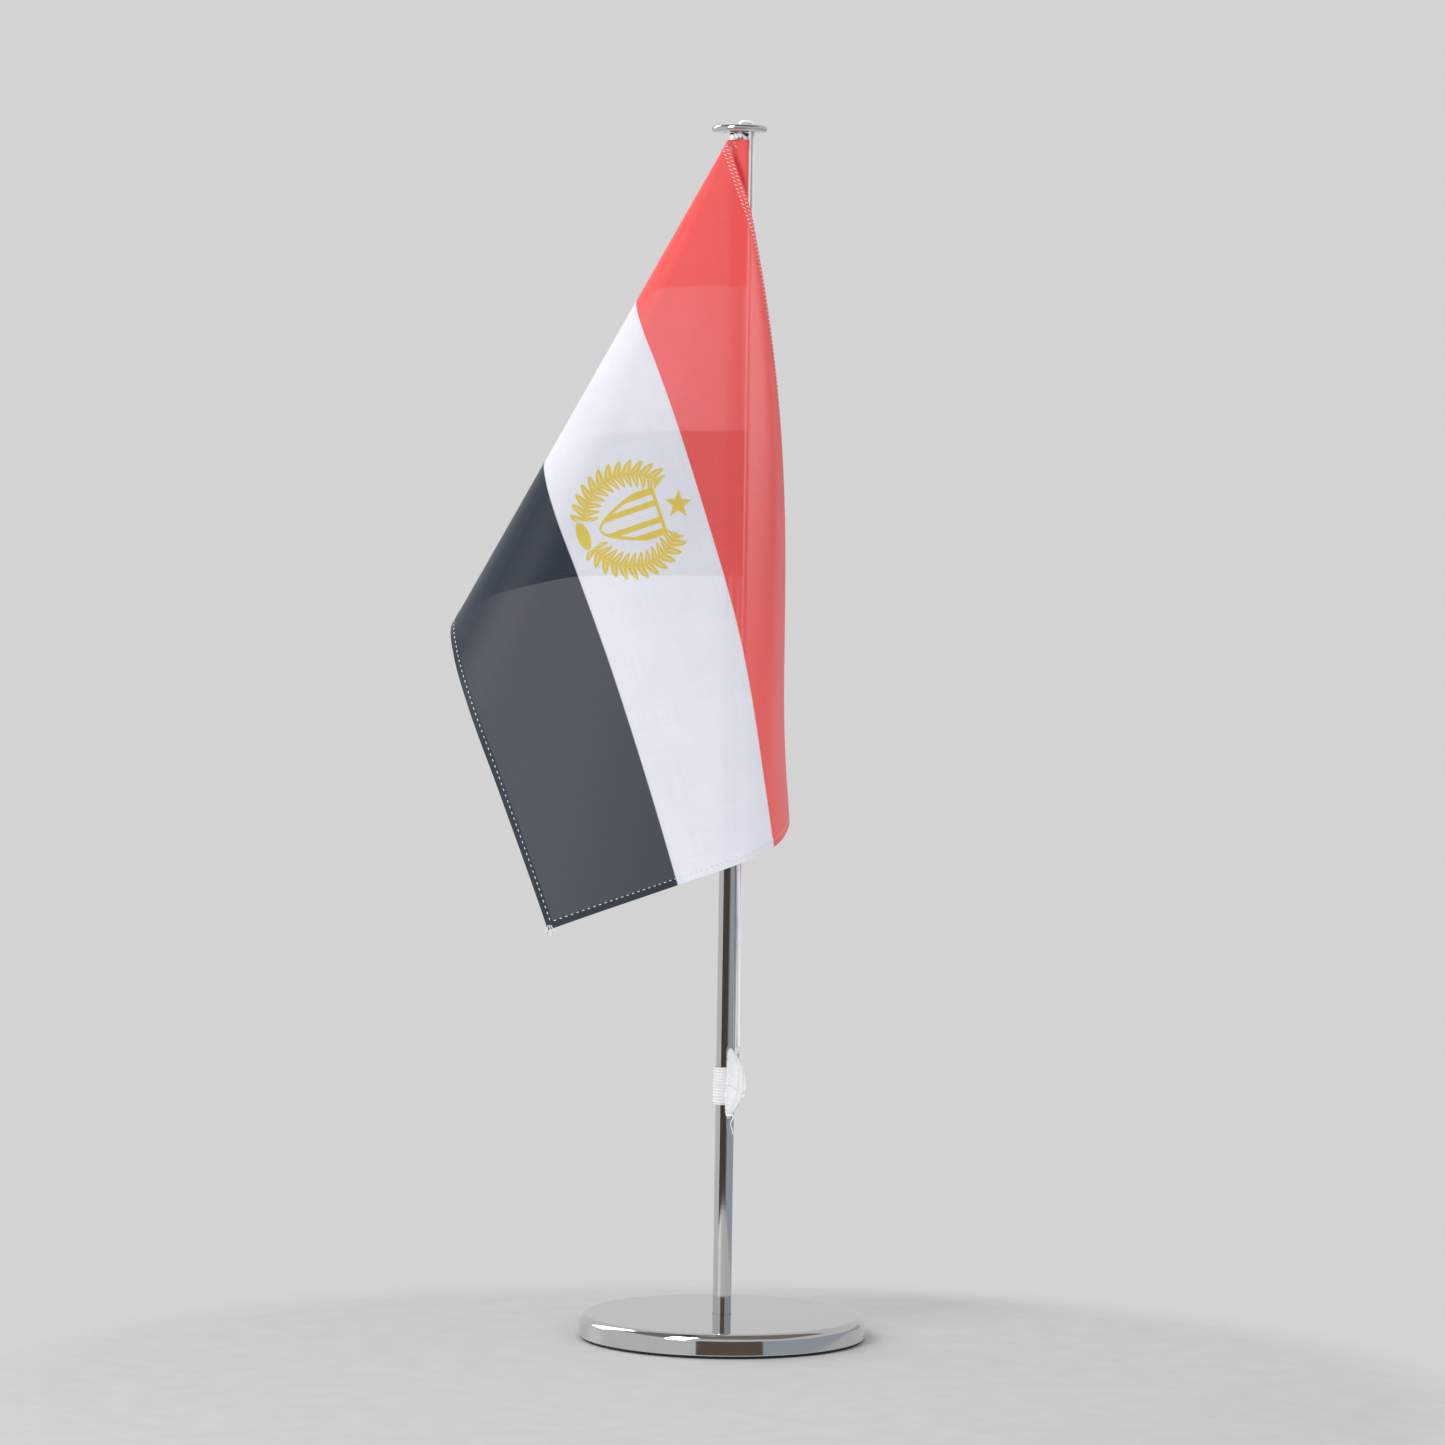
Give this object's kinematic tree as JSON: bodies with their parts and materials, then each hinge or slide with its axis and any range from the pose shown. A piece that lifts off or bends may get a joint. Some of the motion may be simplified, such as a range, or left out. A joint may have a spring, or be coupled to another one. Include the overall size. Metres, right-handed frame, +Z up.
{
  "type": "desk flag stand",
  "caption": "Tabletop flag stand: weighted round chromed base, slim pole with a flat line truck, halyard loop kept taut by an elastic, and a draped fabric flag.",
  "frame": {"origin": "centre of the underside of the base pad, on the pole's axis", "axes": "+Z up along the pole; -Y is the side that the flag is shown from; +X to the right of that side, where the halyard's return run comes down"},
  "size_m": [0.1458, 0.1256, 0.4218],
  "materials": {
    "chrome": "bright nickel-chrome plate, polished",
    "foam": "matt black foam rubber",
    "zinc_steel": "zinc-plated steel",
    "insert_brass": "plain turned brass",
    "nylon": "black nylon",
    "white_cord": "twisted white polyester",
    "white_elastic": "ribbed white woven elastic",
    "flag_fabric": "thin printed woven polyester, red, white and black stripes"
  },
  "bodies": {
    "stand": {"base_disc": "chrome", "base_pad": "foam", "base_screw": "zinc_steel", "base_lock_washer": "zinc_steel", "pole_tube": "chrome", "pole_foot_plug": "insert_brass", "pole_head_plug": "insert_brass", "truck_screw": "chrome", "truck_washer": "nylon"},
    "rigging": {"truck_disc": "chrome", "halyard": "white_cord", "top_knot": "white_cord", "lower_knot": "white_cord", "elastic_band": "white_elastic", "elastic_gather": "white_elastic", "binding_thread": "white_cord"},
    "flag": {"flag_cloth": "flag_fabric"}
  },
  "joints": [
    {"name": "truck_turn", "type": "hinge", "parent": "stand", "child": "rigging", "pos_m": [0, 0, 0.4188], "axis": [0, 0, 1], "continuous": true},
    {"name": "flag_swing", "type": "hinge", "parent": "rigging", "child": "flag", "pos_m": [0.002, -0.0044, 0.415], "axis": [0, 0, 1], "range_deg": [-6, 90]}
  ]
}
